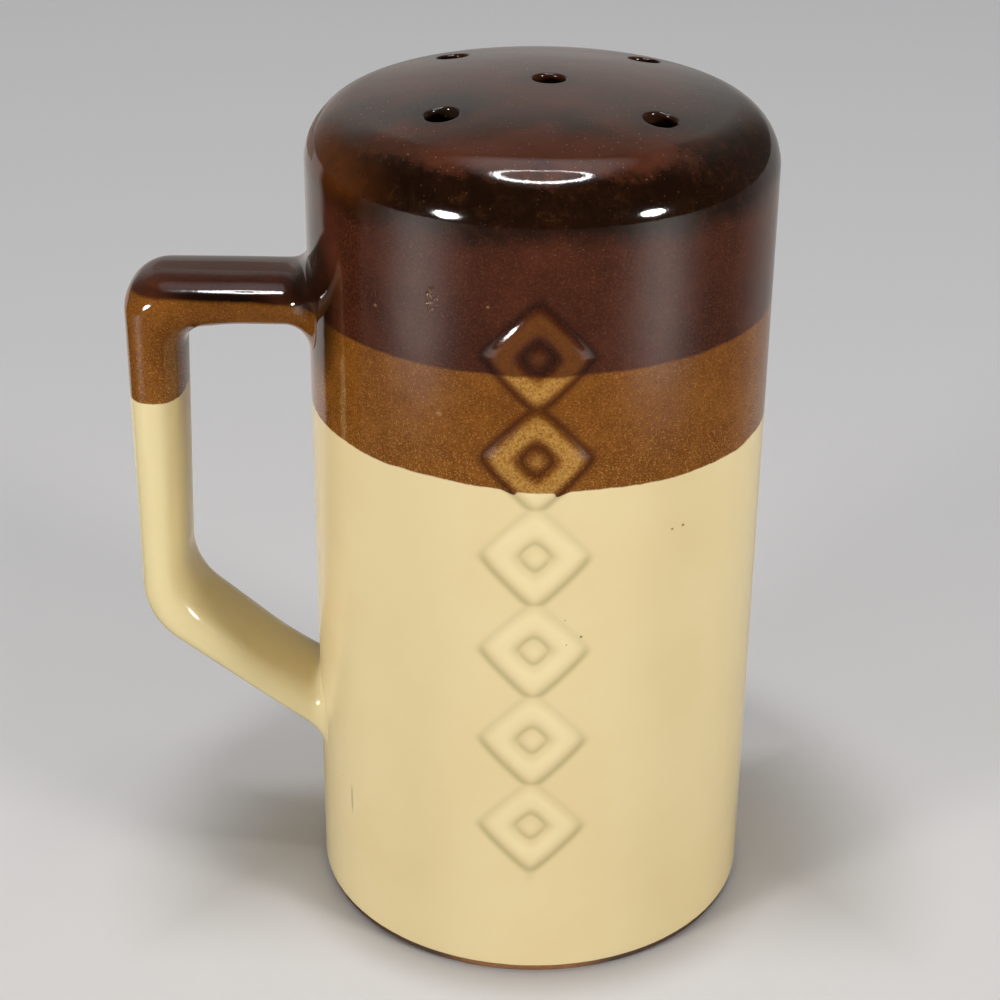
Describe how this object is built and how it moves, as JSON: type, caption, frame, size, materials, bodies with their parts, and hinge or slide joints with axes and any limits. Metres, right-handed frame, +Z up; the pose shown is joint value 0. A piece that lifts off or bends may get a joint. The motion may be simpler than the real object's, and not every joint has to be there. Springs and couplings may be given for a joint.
{
  "type": "cheese shaker",
  "caption": "Tall stoneware shaker for grated cheese with a domed, pierced top, a D-shaped strap handle, a raised lozenge column, banded glaze and a stopper in its base.",
  "frame": {"origin": "centre of the foot ring, on the body's axis in the plane that the shaker stands on", "axes": "+Z up along the body's axis, -Y towards the relief column on the front, -X towards the handle"},
  "size_m": [0.1161, 0.0839, 0.16],
  "materials": {
    "body_glaze": "glossy glaze in three bands: dark brown at the top, speckled amber, cream below",
    "handle_glaze": "glossy glaze, amber at the top arm, cream below",
    "stopper_rubber": "soft matt rubber"
  },
  "bodies": {
    "shaker": {"shaker_body": "body_glaze", "handle": "handle_glaze"},
    "stopper": {"stopper": "stopper_rubber"}
  },
  "joints": [
    {"name": "stopper_pull", "type": "slide", "parent": "shaker", "child": "stopper", "axis": [0, 0, -1], "range_m": [0, 0.035]}
  ]
}
